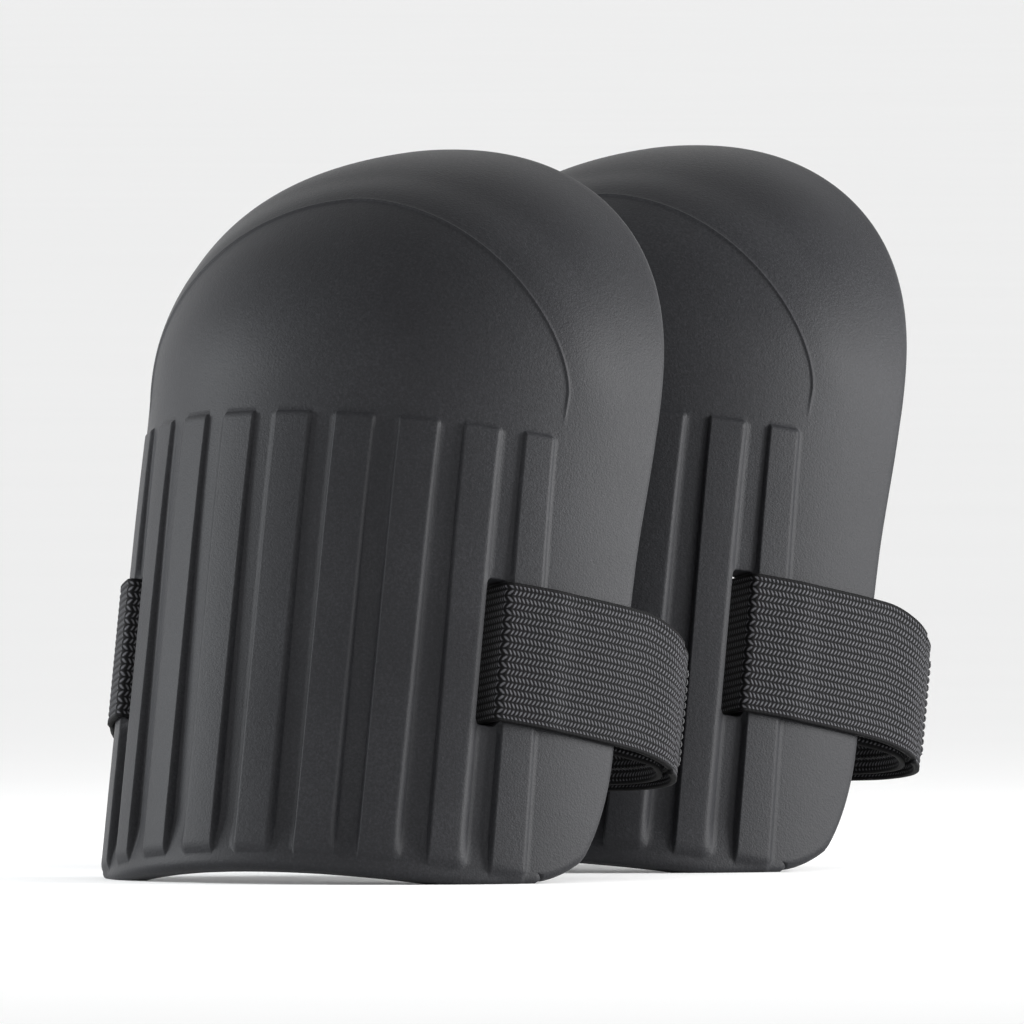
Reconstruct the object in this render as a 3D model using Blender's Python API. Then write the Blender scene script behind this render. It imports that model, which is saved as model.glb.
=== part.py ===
"""Pair of moulded foam knee pads with woven elastic straps.

Each pad is one foam moulding: a hood over the knee, an upright ribbed front and two wings with
a strap slot in each.  One length of elastic webbing runs across the back.  On the left it goes
round the wing through the slot and is sewn to itself.  On the right it goes round the wing the
same way and closes on itself with a hook patch and a loop patch.

A pad is drawn in its own frame: X across the pad, Y to the back, Z along the ribbed front.
The pad leans back by LEAN, so its frame hangs on a tilted empty.  Metres throughout.
"""

import math

import bmesh
import bpy
from mathutils import Vector

# Outline of the moulding, in metres
LEAN = math.radians(11.86)      # the ribbed front leans back from upright
BEND_1 = 14.43                  # how fast the front turns into the wings, rad per metre
BEND_3 = -228.8                 # and how the turning eases off, rad per metre cubed
STRAIGHT = 0.1378               # height of the upright part, below the hood
HOOD_RISE = 0.985               # height of the hood against its width
HOOD_POWER = 2.145              # fullness of the hood, 2 is an ellipse
NOD_START = 0.0912              # the spine starts to curl back here
NOD = 0.0081                    # and has moved this far back, NOD_SPAN above
NOD_SPAN = 0.110
WING_LOW = 0.1032               # length round the outside, centre line to wing edge, over the corner
WING_HIGH = 0.1065              # the same at the foot of the hood
WING_TOP = 0.1101               # and over the top of the hood
CORNER_TOP = 0.0450             # the lower rear corner of a wing starts at this height
CORNER_LONG = 0.0215
CORNER_TALL = 0.0375
FOOT_START = 0.057              # from here to the corner, the lower edge stands on the floor
FOOT_BITE = 0.0007

# Foam
EDGE_THICK = 0.0080
EXTRA_THICK = 0.0040            # more foam in the middle than at the edge
EDGE_ROUND = 0.0025
CAP_RISE = 0.0010               # rise of the ribs and of the knee cap over the wings
CAP_WIDE, CAP_TALL = 0.0763, 0.0583     # half width of the arch, and its height over STRAIGHT
CAP_POWER = 1.6

# Ribs
RIBS = 9
PITCH = 0.01765
RIB_WIDE = 0.0106
RIB_WALL = 0.0012
RIB_LOW, RIB_HIGH = 0.0040, 0.1264
RIB_END = 0.0016
CHANNEL = 0.0020                # depth of the channels between the ribs, at the foot

# Strap
SLOT_LOW, SLOT_HIGH = 0.0443, 0.0857
WEB_LOW, WEB_HIGH = 0.0460, 0.0840
WEB_THICK = 0.0016
PATCH_THICK = 0.0008
PATCH_IN = 0.0030               # a patch is this much narrower than the webbing at each edge
GAP = 0.0003
SLACK = 0.0005                  # the inner layer hangs this much looser on the wing
CLOSED = 2 * PATCH_THICK + 3 * GAP + WEB_THICK      # tab to band, middle to middle, right side
SEWN = WEB_THICK + GAP                              # end to band, middle to middle, left side
NECK = 0.0200                   # length from the wing edge to where the two layers meet
TAB_LONG = 0.0560
FOLD_LONG = 0.0300
SWELL = ((0.0802, 0.0760), (0.0808, 0.0840), (0.0783, 0.0930), (0.0720, 0.1015),
         (0.0625, 0.1073), (0.0520, 0.1098), (0.0380, 0.1112), (0.0190, 0.1120), (0.0, 0.1123))

# The second pad stands behind the first
SECOND_PAD = (0.0030, 0.1416, 0.0)


def smooth(x):
    x = min(max(x, 0.0), 1.0)
    return x * x * (3 - 2 * x)


def plan_table(steps=520, longest=0.130):
    """Points of the pad's plan outline every longest / steps metres from the centre line."""
    table, x, y, step = [(0.0, 0.0)], 0.0, 0.0, longest / steps
    for i in range(steps):
        s = (i + 0.5) * step
        turn = BEND_1 * s + BEND_3 * s**3
        x, y = x + math.cos(turn) * step, y + math.sin(turn) * step
        table.append((x, y))
    return table, step


PLAN, PLAN_STEP = plan_table()


def plan(s):
    place = min(abs(s) / PLAN_STEP, len(PLAN) - 1.001)
    i = int(place)
    (x0, y0), (x1, y1), part = PLAN[i], PLAN[i + 1], place - i
    return math.copysign(x0 + (x1 - x0) * part, s), y0 + (y1 - y0) * part


def wing_edge(t):
    """Half length of the moulding round the outside at height t."""
    if t > CORNER_TOP:
        return WING_LOW + (WING_HIGH - WING_LOW) * (t - CORNER_TOP) / (STRAIGHT - CORNER_TOP)
    drop = min(1.0, (CORNER_TOP - t) / CORNER_TALL)
    return WING_LOW - CORNER_LONG * (1 - math.sqrt(1 - drop * drop))


def form(s, t):
    """The plain outer form at length s round the outside and height t. Above STRAIGHT, (s, t)
    is a point of the flat half disc that makes the hood."""
    if t <= STRAIGHT:
        x, y = plan(s)
        z = t
    else:
        rho, beta = math.hypot(s, t - STRAIGHT), math.atan2(t - STRAIGHT, abs(s))
        across, y = plan(rho)
        c, k = math.cos(beta), math.sin(beta)
        full = (abs(c) ** HOOD_POWER + k**HOOD_POWER) ** (-1 / HOOD_POWER)
        x = math.copysign(across * c * full, s)
        z = STRAIGHT + HOOD_RISE * across * k * full
    return Vector((x, y + NOD * (max(0.0, z - NOD_START) / NOD_SPAN) ** 2, z))


def frame_at(s, t, d=0.0004):
    """Point of the form, outward normal, and the two directions along it."""
    along = form(s + d, t) - form(s - d, t)
    up = form(s, t + d) - form(s, t - d)
    return form(s, t), along.cross(up).normalized(), along.normalized(), up.normalized()


def thickness(s, t):
    away = WING_TOP - math.hypot(s, t - STRAIGHT) if t > STRAIGHT else wing_edge(t) - abs(s)
    return EDGE_THICK + EXTRA_THICK * smooth(away / 0.045) * smooth(t / 0.040)


def relief(s, t):
    """Height of the outer face over the plain form. The hood swells a little above the ribs. The
    ribs stand proud, and the channels between them sink deeper towards the foot."""
    reach = (abs(s) / CAP_WIDE) ** CAP_POWER + (max(0.0, t - STRAIGHT) / CAP_TALL) ** CAP_POWER
    if t >= RIB_HIGH:
        return CAP_RISE * smooth((1.04 - reach) / 0.12) * smooth((t - RIB_HIGH) / 0.030)
    floor = 0.0
    if abs(s) < 4 * PITCH:
        floor = -CHANNEL * (1 - t / RIB_HIGH) * smooth((t - EDGE_ROUND) / 0.014)
    off = abs(s - PITCH * max(-4, min(4, round(s / PITCH))))
    if t <= RIB_LOW or off > RIB_WIDE / 2:
        return floor
    end = min(t - RIB_LOW, RIB_HIGH - t)
    return floor + (CAP_RISE - floor) * smooth(end / RIB_END) * smooth((RIB_WIDE / 2 - off) / RIB_WALL)


FLOOR_Y = plan(FOOT_START)[1]


def floor_z(y):
    """Height, along the pad's own Z, of the floor under a point of depth y."""
    return (y - FLOOR_Y) * math.tan(LEAN)


def columns():
    """Lengths round the outside of the grid's fixed lines; the wing lines follow the edge."""
    lines = []
    for i in range(RIBS):
        middle = (i - RIBS // 2) * PITCH
        for side in (-1, 1):
            wall = sorted((side * RIB_WIDE / 2, side * (RIB_WIDE / 2 - RIB_WALL)))
            lines += [middle + w for w in wall]
    return sorted(lines)


def domain_grid():
    """Rows of (s, t) points over the whole outer face, from the lower edge to the hood's edge."""
    fixed = columns()
    heights = [EDGE_ROUND, RIB_LOW, RIB_LOW + RIB_END, 0.0075, 0.0135, 0.0210, 0.0300, SLOT_LOW,
               0.0647, SLOT_HIGH, 0.1050, RIB_HIGH - RIB_END, RIB_HIGH, STRAIGHT]
    rows = []
    for height in heights:
        edge = wing_edge(height)
        row = []
        for k in (1.0, 0.66, 0.33):
            row.append(-(fixed[-1] + k * (edge - fixed[-1])))
        row += fixed + [-s for s in reversed(row)]
        lift = 1 - min(1.0, (height - EDGE_ROUND) / 0.012)
        rows.append([(s, height + lift * max(0.0, floor_z(plan(s)[1]) - FOOT_BITE)) for s in row])
    top = rows[-1]
    for q in (0.12, 0.25, 0.38, 0.52, 0.66, 0.80, 0.91, 1.0):
        row = []
        for s, _ in top:
            p = s / WING_HIGH
            row.append((s * math.sqrt(1 - q * q / 2),
                        STRAIGHT + WING_TOP * q * math.sqrt(max(0.0, 1 - p * p / 2))))
        rows.append(row)
    return rows, heights.index(SLOT_LOW), heights.index(SLOT_HIGH)


def shell_mesh():
    """The moulding: outer face, inner face, rounded edge between them, and two slots."""
    rows, slot_a, slot_b = domain_grid()
    count_i, count_j = len(rows[0]), len(rows)
    bm = bmesh.new()
    outer, inner = [], []
    for row in rows:
        o_row, i_row = [], []
        for s, t in row:
            point, normal, _, _ = frame_at(s, t)
            o_row.append(bm.verts.new(point + normal * relief(s, t)))
            i_row.append(bm.verts.new(point - normal * thickness(s, t)))
        outer.append(o_row)
        inner.append(i_row)
    fixed = columns()
    right = 3 + min(range(len(fixed)), key=lambda i: abs(fixed[i] - (3 * PITCH + RIB_WIDE / 2)))
    slots = (right, count_i - 2 - right)
    for j in range(count_j - 1):
        for i in range(count_i - 1):
            if slot_a <= j < slot_b and i in slots:
                continue
            bm.faces.new((outer[j][i], outer[j][i + 1], outer[j + 1][i + 1], outer[j + 1][i]))
            bm.faces.new((inner[j][i], inner[j + 1][i], inner[j + 1][i + 1], inner[j][i + 1]))
    for i in slots:
        ring = [(j, i) for j in range(slot_a, slot_b)] + [(slot_b, i)]
        ring += [(j, i + 1) for j in range(slot_b, slot_a - 1, -1)]
        for (j0, i0), (j1, i1) in zip(ring, ring[1:] + ring[:1]):
            bm.faces.new((outer[j0][i0], outer[j1][i1], inner[j1][i1], inner[j0][i0]))
    border = [(0, i) for i in range(count_i)] + [(j, count_i - 1) for j in range(1, count_j)]
    border += [(count_j - 1, i) for i in range(count_i - 2, -1, -1)]
    border += [(j, 0) for j in range(count_j - 2, 0, -1)]
    loops = []
    for n, (j, i) in enumerate(border):
        before, after = border[n - 1], border[(n + 1) % len(border)]
        run = outer[after[0]][after[1]].co - outer[before[0]][before[1]].co
        s, t = rows[j][i]
        _, normal, _, _ = frame_at(s, t)
        out = run.cross(normal).normalized()
        start, thick = outer[j][i].co.copy(), thickness(s, t)
        ring = []
        for centre, angles in ((EDGE_ROUND, (40, 90)), (thick - EDGE_ROUND, (90, 140))):
            for angle in angles:
                a = math.radians(angle)
                side = EDGE_ROUND * (math.cos(a) * normal + math.sin(a) * out)
                ring.append(bm.verts.new(start - centre * normal + side))
        loops.append([outer[j][i], *ring, inner[j][i]])
    for a, b in zip(loops, loops[1:] + loops[:1]):
        for k in range(len(a) - 1):
            bm.faces.new((a[k], a[k + 1], b[k + 1], b[k]))
    for vert in bm.verts:
        vert.co.z = max(vert.co.z, floor_z(vert.co.y))
    bmesh.ops.recalc_face_normals(bm, faces=bm.faces)
    return bm


def sweep(points, count):
    """Evenly spaced points of a smooth curve through the given points."""
    ends = [points[0] * 2 - points[1], *points, points[-1] * 2 - points[-2]]
    fine = []
    for a, b, c, d in zip(ends, ends[1:], ends[2:], ends[3:]):
        for n in range(24):
            u = n / 24
            fine.append(0.5 * (2 * b + (c - a) * u + (2 * a - 5 * b + 4 * c - d) * u * u
                               + (3 * b - a - 3 * c + d) * u**3))
    fine.append(points[-1].copy())
    return even(fine, count)


def even(points, count):
    reach = [0.0]
    for a, b in zip(points, points[1:]):
        reach.append(reach[-1] + (b - a).length)
    found, k = [], 0
    for n in range(count):
        want = reach[-1] * n / (count - 1)
        while k < len(points) - 2 and reach[k + 1] < want:
            k += 1
        part = (want - reach[k]) / max(reach[k + 1] - reach[k], 1e-9)
        found.append(points[k].lerp(points[k + 1], part))
    return found


def sides(points):
    """Unit vector at each point of a plan path, pointing away from the pad's middle."""
    found = []
    for n in range(len(points)):
        run = points[min(n + 1, len(points) - 1)] - points[max(n - 1, 0)]
        found.append(Vector((run.y, -run.x, 0)).normalized())
    return found


def outer_route():
    """Plan path of the webbing's middle, right half: on the wing, past its edge, to the centre."""
    height = (WEB_LOW + WEB_HIGH) / 2
    edge = wing_edge(height)
    points = []
    for n in range(8):
        s = 0.0700 + (edge + 0.0005 - 0.0700) * n / 7
        point, normal, _, _ = frame_at(s, height)
        lift = CAP_RISE * smooth((0.095 - s) / 0.012)
        points.append(point + normal * (lift + GAP + WEB_THICK / 2))
    flat = [Vector((p.x, p.y, 0)) for p in points]
    flat += [Vector((x, y, 0)) for x, y in SWELL]
    return sweep(flat, 260)


ROUTE = outer_route()
ROUTE_SIDE = sides(ROUTE)
WING_END = min(range(len(ROUTE)), key=lambda n: abs(ROUTE[n].y - 0.0665))
ROUTE_STEP = (ROUTE[1] - ROUTE[0]).length
NECK_END = WING_END + round(NECK / ROUTE_STEP)


def band_route(closeness):
    """The band's path, inside the outer layer by closeness from the neck on."""
    return [ROUTE[n] - ROUTE_SIDE[n] * closeness for n in range(NECK_END, len(ROUTE))]


def thin(points, bend=math.radians(6), far=0.0070):
    """Drops points of a path where it runs nearly straight."""
    kept, turned, ran = [points[0]], 0.0, 0.0
    for a, b, c in zip(points, points[1:], points[2:]):
        turned += (b - a).angle(c - b, 0.0)
        ran += (b - a).length
        if turned > bend or ran > far:
            kept.append(b)
            turned, ran = 0.0, 0.0
    return [*kept, points[-1]]


def turn(centre, along, normal, radius, first, last, steps=4):
    """Points of a quarter turn round one corner of the slot, by angle from along towards normal."""
    found = []
    for n in range(steps + 1):
        angle = math.radians(first + (last - first) * n / steps)
        found.append(centre + radius * (math.cos(angle) * along + math.sin(angle) * normal))
    return found


def loop_route(closeness):
    """Round the wing: neck, outside of the wing, slot, inside of the wing, neck."""
    height, half = (WEB_LOW + WEB_HIGH) / 2, GAP + WEB_THICK / 2
    corner = 4 * PITCH - RIB_WIDE / 2
    lip, normal, along, _ = frame_at(corner, height)
    slot = turn(lip + normal * CAP_RISE, along, normal, half + GAP / 3, 90, 180)
    slot += turn(lip - normal * thickness(corner, WEB_HIGH), along, normal, half + SLACK / 2, 180, 270)
    edge, inside = wing_edge(height), []
    for n in range(8):
        s = 0.0690 + (edge + EDGE_ROUND - 0.0690) * n / 7
        point, normal, _, _ = frame_at(min(s, edge), height)
        point += (s - min(s, edge)) * frame_at(edge, height)[2]
        inside.append(point - normal * (thickness(min(s, edge), WEB_HIGH) + half + SLACK))
    apart = EDGE_THICK + 2 * half + SLACK
    first = min(range(len(ROUTE)), key=lambda n: (ROUTE[n] - inside[-1].xy.to_3d()).length)
    for n in range(first + 4, NECK_END + 1, 4):
        near = smooth((n - first) / (NECK_END - first))
        inside.append(ROUTE[n] - ROUTE_SIDE[n] * (apart + (closeness - apart) * near))
    inside.append(ROUTE[NECK_END] - ROUTE_SIDE[NECK_END] * closeness)
    flat = [Vector((p.x, p.y, 0)) for p in slot + inside]
    return thin(ROUTE[NECK_END::-1]) + flat[:len(slot)] + thin(sweep(flat[len(slot):], 400))


def ribbon_mesh(path, low, high, thick):
    """A flat band of webbing along a plan path, standing from low to high."""
    bm = bmesh.new()
    rings = []
    for point, side in zip(path, sides(path)):
        ring = []
        for across, z in ((0.5, low), (0.5, high), (-0.5, high), (-0.5, low)):
            ring.append(bm.verts.new((point + side * across * thick).xy.to_3d() + Vector((0, 0, z))))
        rings.append(ring)
    for a, b in zip(rings, rings[1:]):
        for k in range(4):
            bm.faces.new((a[k], a[(k + 1) % 4], b[(k + 1) % 4], b[k]))
    bm.faces.new(rings[0][::-1])
    bm.faces.new(rings[-1])
    bmesh.ops.recalc_face_normals(bm, faces=bm.faces)
    return bm


def seam_mesh(path, low, high, offset, wide=0.0008, thick=0.0005):
    """A rectangle of sewing thread on the face of the webbing."""
    bm = bmesh.new()
    side = sides(path)
    line = [(n, low) for n in range(len(path))] + [(n, high) for n in range(len(path) - 1, -1, -1)]
    middle = (low + high) / 2
    rings = []
    for n, z in line:
        end = 1 if n == len(path) - 1 else (-1 if n == 0 else 0)
        run = (path[min(n + 1, len(path) - 1)] - path[max(n - 1, 0)]).normalized()
        ring = []
        for k, d in ((0.5, 0.0), (0.5, thick), (-0.5, thick), (-0.5, 0.0)):
            grow = 1 if z > middle else -1
            place = path[n] + side[n] * (offset + d) + run * end * k * wide
            ring.append(bm.verts.new((place.x, place.y, z + grow * k * wide)))
        rings.append(ring)
    for a, b in zip(rings, rings[1:] + rings[:1]):
        for k in range(4):
            bm.faces.new((a[k], a[(k + 1) % 4], b[(k + 1) % 4], b[k]))
    bmesh.ops.recalc_face_normals(bm, faces=bm.faces)
    return bm


def mirrored(path):
    return [Vector((-p.x, p.y, 0)) for p in path]


def material(name, colour, roughness):
    made = bpy.data.materials.new(name)
    made.use_nodes = True
    made.diffuse_color = (*colour, 1)
    surface = made.node_tree.nodes["Principled BSDF"]
    surface.inputs["Base Color"].default_value = (*colour, 1)
    surface.inputs["Roughness"].default_value = roughness
    surface.inputs["Metallic"].default_value = 0.0
    return made


def add(name, bm, look, parent, origin=(0, 0, 0), sharp=35):
    """Makes one object, with its origin at a point of the pad's frame."""
    bmesh.ops.translate(bm, verts=bm.verts, vec=-Vector(origin))
    mesh = bpy.data.meshes.new(name)
    bm.to_mesh(mesh)
    bm.free()
    mesh.materials.append(look)
    mesh.shade_smooth()
    mesh.set_sharp_from_angle(angle=math.radians(sharp))
    obj = bpy.data.objects.new(name, mesh)
    bpy.context.scene.collection.objects.link(obj)
    obj.parent = parent
    obj.location = origin
    return obj


def empty(name, location, parent=None):
    obj = bpy.data.objects.new(name, None)
    bpy.context.scene.collection.objects.link(obj)
    obj.empty_display_size = 0.02
    obj.location = location
    obj.parent = parent
    return obj


def pad(prefix, root, place, looks):
    """One complete pad with its strap."""
    frame = empty(prefix + "_frame", Vector(place) + Vector((0, 0, FLOOR_Y * math.sin(LEAN))), root)
    frame.rotation_euler = (-LEAN, 0, 0)
    foam, web, hook, loop, thread = looks
    low, high = WEB_LOW, WEB_HIGH
    add(prefix + "_shell", shell_mesh(), foam, frame, sharp=30)

    add(prefix + "_strap_loop_right", ribbon_mesh(loop_route(CLOSED), low, high, WEB_THICK), web, frame)
    left_loop = mirrored(loop_route(SEWN))[::-1]
    add(prefix + "_strap_loop_left", ribbon_mesh(left_loop, low, high, WEB_THICK), web, frame)

    right, left = band_route(CLOSED), mirrored(band_route(SEWN))
    across = 0.25 * (CLOSED - SEWN)
    blend = len(right) // 3
    for n in range(blend):
        right[-1 - n].y += 2 * across * smooth(1 - n / blend)
        left[-1 - n].y -= 2 * across * smooth(1 - n / blend)
    first = round(GAP / ROUTE_STEP + 0.5)
    whole = right[first:] + left[first:-1][::-1]
    band = thin(even(whole, 300))
    neck = ROUTE[NECK_END]
    add(prefix + "_strap_band", ribbon_mesh(band, low, high, WEB_THICK), web, frame,
        origin=(0, band[len(band) // 2].y, (low + high) / 2))

    tab_count = round(TAB_LONG / ROUTE_STEP)
    tab_full = ROUTE[NECK_END + first:NECK_END + tab_count]
    tab = even(tab_full, 20)
    hinge = neck.lerp(tab[0], 0.5) + ROUTE_SIDE[NECK_END] * WEB_THICK / 2
    pivot = (hinge.x, hinge.y, (low + high) / 2)
    add(prefix + "_strap_tab", ribbon_mesh(tab, low - 0.001, high - 0.001, WEB_THICK), web, frame, origin=pivot)

    side = ROUTE_SIDE[NECK_END:]
    patch_a, patch_b = round(0.008 / ROUTE_STEP), tab_count - round(0.004 / ROUTE_STEP)
    reach = WEB_THICK / 2 + GAP + PATCH_THICK / 2
    hook_path = even([ROUTE[NECK_END + n] - side[n] * reach for n in range(patch_a, patch_b)], 16)
    add(prefix + "_hook_patch", ribbon_mesh(hook_path, low + PATCH_IN, high - PATCH_IN, PATCH_THICK),
        hook, frame, origin=pivot)
    band_line = right[:tab_count + 30]
    band_side = sides(band_line)
    loop_path = even([band_line[n] + band_side[n] * reach
                      for n in range(patch_a - 2, min(patch_b + 14, len(band_line) - 1))], 18)
    add(prefix + "_loop_patch", ribbon_mesh(loop_path, low + PATCH_IN, high - PATCH_IN, PATCH_THICK),
        loop, frame, origin=(0, band[len(band) // 2].y, (low + high) / 2))

    fold_count = round(FOLD_LONG / ROUTE_STEP)
    fold = even(mirrored(ROUTE[NECK_END + first:NECK_END + fold_count])[::-1], 12)
    add(prefix + "_strap_fold", ribbon_mesh(fold, low, high, WEB_THICK), web, frame)

    face = WEB_THICK / 2 + GAP
    seam = even([ROUTE[NECK_END + n] for n in range(patch_a + 2, patch_b - 2)], 16)
    add(prefix + "_hook_patch_seam", seam_mesh(seam, low + 0.0045, high - 0.0055, face), thread, frame,
        origin=pivot)
    seam = even(right[patch_a + 1:patch_b + 10], 16)
    add(prefix + "_loop_patch_seam", seam_mesh(seam, low + 0.0045, high - 0.0045, -face - 0.0005),
        thread, frame, origin=(0, band[len(band) // 2].y, (low + high) / 2))
    seam = even(mirrored(ROUTE[NECK_END + first + 6:NECK_END + fold_count - 6])[::-1], 10)
    add(prefix + "_fold_seam", seam_mesh(seam, low + 0.004, high - 0.004, face), thread, frame)


def centre_on_floor(root):
    """Moves everything so that the origin is under the middle of the whole pair."""
    bpy.context.view_layer.update()
    points = [obj.matrix_world @ vert.co for obj in bpy.data.objects if obj.type == "MESH"
              for vert in obj.data.vertices]
    middle = [(min(p[k] for p in points) + max(p[k] for p in points)) / 2 for k in (0, 1)]
    root.location = (-middle[0], -middle[1], -min(p.z for p in points))


for old in list(bpy.data.objects):
    bpy.data.objects.remove(old, do_unlink=True)

LOOKS = (material("foam", (0.030, 0.031, 0.034), 0.62), material("webbing", (0.012, 0.012, 0.013), 0.85),
         material("hook_tape", (0.010, 0.010, 0.010), 0.70), material("loop_tape", (0.014, 0.014, 0.015), 0.95),
         material("thread", (0.020, 0.020, 0.022), 0.80))
ROOT = empty("knee_pads", (0, 0, 0))
pad("front_pad", ROOT, (0, 0, 0), LOOKS)
pad("rear_pad", ROOT, SECOND_PAD, LOOKS)
centre_on_floor(ROOT)
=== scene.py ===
"""Looks for a pair of moulded foam knee pads with woven elastic straps.

Each pad is drawn in its own frame: X across the pad, Y to the back, Z along the ribbed front.
place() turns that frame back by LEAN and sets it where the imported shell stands. Metres throughout.
"""
import math

import bpy
import numpy as np
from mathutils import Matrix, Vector


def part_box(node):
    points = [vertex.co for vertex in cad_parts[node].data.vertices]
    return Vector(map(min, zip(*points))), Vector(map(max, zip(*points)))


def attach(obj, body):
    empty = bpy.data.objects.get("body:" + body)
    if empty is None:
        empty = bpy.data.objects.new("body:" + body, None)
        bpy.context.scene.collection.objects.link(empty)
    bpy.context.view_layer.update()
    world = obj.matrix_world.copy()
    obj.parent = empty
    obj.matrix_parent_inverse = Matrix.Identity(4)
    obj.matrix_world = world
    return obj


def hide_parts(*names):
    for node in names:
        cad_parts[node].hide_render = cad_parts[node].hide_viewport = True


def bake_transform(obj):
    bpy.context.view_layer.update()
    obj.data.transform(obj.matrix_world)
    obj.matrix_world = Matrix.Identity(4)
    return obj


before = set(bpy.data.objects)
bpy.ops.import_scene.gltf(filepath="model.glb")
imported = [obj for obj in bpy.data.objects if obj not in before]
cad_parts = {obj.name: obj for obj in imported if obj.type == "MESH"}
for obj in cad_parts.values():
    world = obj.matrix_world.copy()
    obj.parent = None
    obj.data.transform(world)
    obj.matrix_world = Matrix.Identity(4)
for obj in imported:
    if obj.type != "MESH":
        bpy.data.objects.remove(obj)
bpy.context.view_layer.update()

# The moulding, as the CAD has it
LEAN = math.radians(11.86)
BEND_1, BEND_3 = 14.43, -228.8          # turning of the plan outline, rad/m and rad/m3
STRAIGHT = 0.1378                       # height of the upright part, below the hood
HOOD_RISE, HOOD_POWER = 0.985, 2.145
SHOULDER = 0.14                         # fuller shoulders behind the knee cap
SHOULDER_IN, SHOULDER_OUT, SHOULDER_FADE = 0.055, 0.114, 0.030   # where they start and end
NOD_START, NOD, NOD_SPAN = 0.0912, 0.0081, 0.110
WING_LOW, WING_HIGH, WING_TOP = 0.1032, 0.1065, 0.1120
WING_SPREAD = 0.0012                    # the wings widen this much more above the strap,
SPREAD_FROM, SPREAD_OVER = 0.095, 0.035  # from this height, over this much height
CORNER_TOP, CORNER_LONG, CORNER_TALL = 0.0450, 0.0215, 0.0405
FOOT_START, FOOT_BITE = 0.057, 0.0007
FOOT_BLEND = 0.012                      # the lower edge's own line fades out over this height
EDGE_THICK, EXTRA_THICK, EDGE_ROUND = 0.0080, 0.0040, 0.0025
THIN_WIDE, THIN_TALL = 0.045, 0.040     # the foam thins this near its edge and its foot
CAP_RISE = 0.0010                       # the face stands this much proud of the wings
CAP_OUT, CAP_FADE, CAP_START = 0.100, 0.020, 0.030   # the swell's outer end, and its two eases
CAP_WIDE, CAP_TALL, CAP_POWER = 0.0763, 0.0583, 1.6
FRONT_RISE = 0.00035                    # the front stands this far before the pad's own origin

# The line moulded round the knee cap
BEAD_HIGH, BEAD_HALF = 0.00042, 0.00050
BEAD_FOOT, BEAD_FADE = 0.1290, 0.0090
ARCH_FOOT = 0.0804                      # where the mesh line under it reaches the lower edge
# Mesh lines beside the arch line
ARCH_LINES = (-0.0009, -0.00045, -0.00022, 0.0, 0.00022, 0.00045, 0.0009)

# Ribs: the edges of each on the right half, at the top and at the foot, in turn outer and inner.
# The mould opens forwards, so a rib's outer side slopes more, the further round the pad it is.
RIBS_TOP = (0.0053, 0.01235, 0.02295, 0.0300, 0.0406, 0.04765, 0.0576, 0.0648, 0.0734)
RIBS_FOOT = (0.0053, 0.01235, 0.02295, 0.0300, 0.0406, 0.0492, 0.0588, 0.0670, 0.0776)
RIB_LOW, RIB_HIGH = 0.0042, 0.1264
INNER_SIDE = 0.0009                     # width of a rib's inner side
OUTER_TOP = (0.0010, 0.0012, 0.0015, 0.0019, 0.0017)      # widths of the outer sides
OUTER_FOOT = (0.0018, 0.0024, 0.0032, 0.0040, 0.0020)
SIDE_LINES = (-0.75, -0.5, -0.36, -0.2, 0.0, 0.2, 0.36, 0.5)   # mesh lines on a side, in widths
END_TOP, END_FOOT = 0.0016, 0.0032      # lengths of the slopes at a rib's two ends
RIB_FIRM = 0.0011                       # rise of a rib over the plain form
CHANNEL = 0.0020                        # depth of the channels between ribs, at the foot
CHANNEL_FADE = 0.014                    # they rise to the lower edge over this height
CHANNELS_OUT = (RIBS_TOP[7] + RIBS_TOP[8]) / 2 + 0.003   # and end under the outer rib

# Strap, as the CAD has it
SLOT_LOW, SLOT_HIGH = 0.0443, 0.0853
SLOT_CORNER, SLOT_LIP = 0.0022, 0.0005
WEB_LOW, WEB_HIGH, WEB_THICK = 0.0460, 0.0840, 0.0016
PATCH_THICK, PATCH_IN = 0.0008, 0.0030
GAP, SLACK = 0.0003, 0.0005
RIB_PITCH, RIB_WIDE = 0.01765, 0.0106
SLOT_BACK = 4 * RIB_PITCH - RIB_WIDE / 2   # where the slot's rear lip is, round the outside
CLOSED = 2 * PATCH_THICK + 3 * GAP + WEB_THICK   # between two layers' middles, with the tapes
SEWN = WEB_THICK + GAP                  # and where they are sewn together
TURN_Y = 0.0665                         # where the strap turns to the back
NECK, TAB_LONG, FOLD_LONG = 0.0200, 0.0560, 0.0300
TAB_DROP, TAB_BEND = 0.001, 0.007       # the free end sits lower
HOOK_AFTER, HOOK_BEFORE = 0.008, 0.004  # plain webbing before and after the hook tape
SWELL = ((0.0802, 0.0760), (0.0808, 0.0840), (0.0783, 0.0930), (0.0720, 0.1015),
         (0.0625, 0.1073), (0.0520, 0.1098), (0.0380, 0.1112), (0.0190, 0.1120), (0.0, 0.1123))
ROWS = 21                               # lengthwise rows of the weave
ROW_DEEP = 0.00012
SELVEDGE = 0.0015                       # width of the firmer edge, and the groove beside it
GROOVE_AT, GROOVE_HALF, GROOVE_DEEP = 0.0019, 0.0005, 0.0002
STREAK_LONG, STREAK_LEAN = 0.00120, 0.8   # length of one streak of the weave and of its painted sheen, and its lean over one row in lengths
NAP_DEEP = 0.00016                      # unevenness of the hook and loop tapes
STITCH = 0.0024                         # length of one stitch
THREAD = 0.00030                        # half thickness of the thread
STITCH_PLACES = (0.06, 0.14, 0.32, 0.5, 0.68, 0.86, 0.94)   # along one stitch,
STITCH_RISES = (-0.6, 0.2, 0.8, 1.0, 0.8, 0.2, -0.6)        # with its height there
STITCH_SIZES = (0.35, 0.8, 1.0, 1.0, 1.0, 0.8, 0.35)        # and its thickness, both in THREADs

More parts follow.
